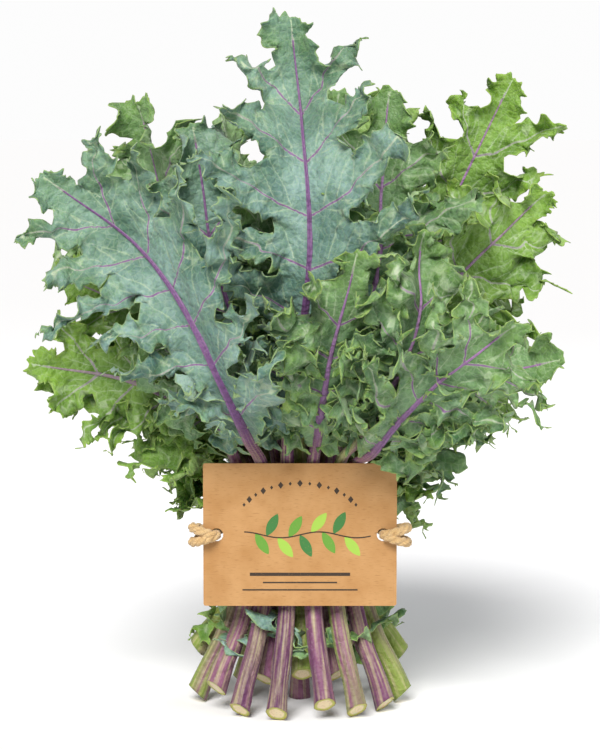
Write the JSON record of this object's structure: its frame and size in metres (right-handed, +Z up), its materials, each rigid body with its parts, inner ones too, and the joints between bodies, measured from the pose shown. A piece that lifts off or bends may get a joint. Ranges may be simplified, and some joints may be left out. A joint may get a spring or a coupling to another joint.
{
  "type": "kale bunch",
  "caption": "Bunch of curly red kale, standing on its splayed cut stems and tied with jute twine that holds a kraft label card in front.",
  "frame": {"origin": "centre of the flat cut end of the heart leaf's upright stem, on the surface that the bunch stands on", "axes": "+Z up along the bunch, -Y towards the label card and the front leaves, +X to the right as seen from the front"},
  "size_m": [0.3, 0.3041, 0.3814],
  "materials": {
    "kale_leaf": "waxy leaf, blue-green with purple ribs and stems",
    "kraft_card": "uncoated kraft card",
    "jute_twine": "twisted jute"
  },
  "bodies": {
    "root": {"leaf_heart": "kale_leaf", "leaf_top_right": "kale_leaf", "leaf_top_left": "kale_leaf", "leaf_right": "kale_leaf", "leaf_left": "kale_leaf", "leaf_heart_right": "kale_leaf", "leaf_heart_left": "kale_leaf", "leaf_heart_front": "kale_leaf", "leaf_heart_back_right": "kale_leaf", "leaf_heart_back_left": "kale_leaf", "leaf_side_back_right": "kale_leaf", "leaf_side_back_left": "kale_leaf", "leaf_back_right": "kale_leaf", "leaf_back_left": "kale_leaf", "leaf_low_right": "kale_leaf", "leaf_low_left": "kale_leaf", "leaf_side_right": "kale_leaf", "leaf_side_left": "kale_leaf", "leaf_back_middle_right": "kale_leaf", "leaf_back_middle_left": "kale_leaf", "leaf_front_middle": "kale_leaf", "leaf_front_low_left": "kale_leaf", "leaf_front_low": "kale_leaf", "leaf_front_low_right": "kale_leaf", "leaf_front_right": "kale_leaf", "leaf_front_left": "kale_leaf", "label_card": "kraft_card", "twine": "jute_twine"}
  },
  "joints": []
}
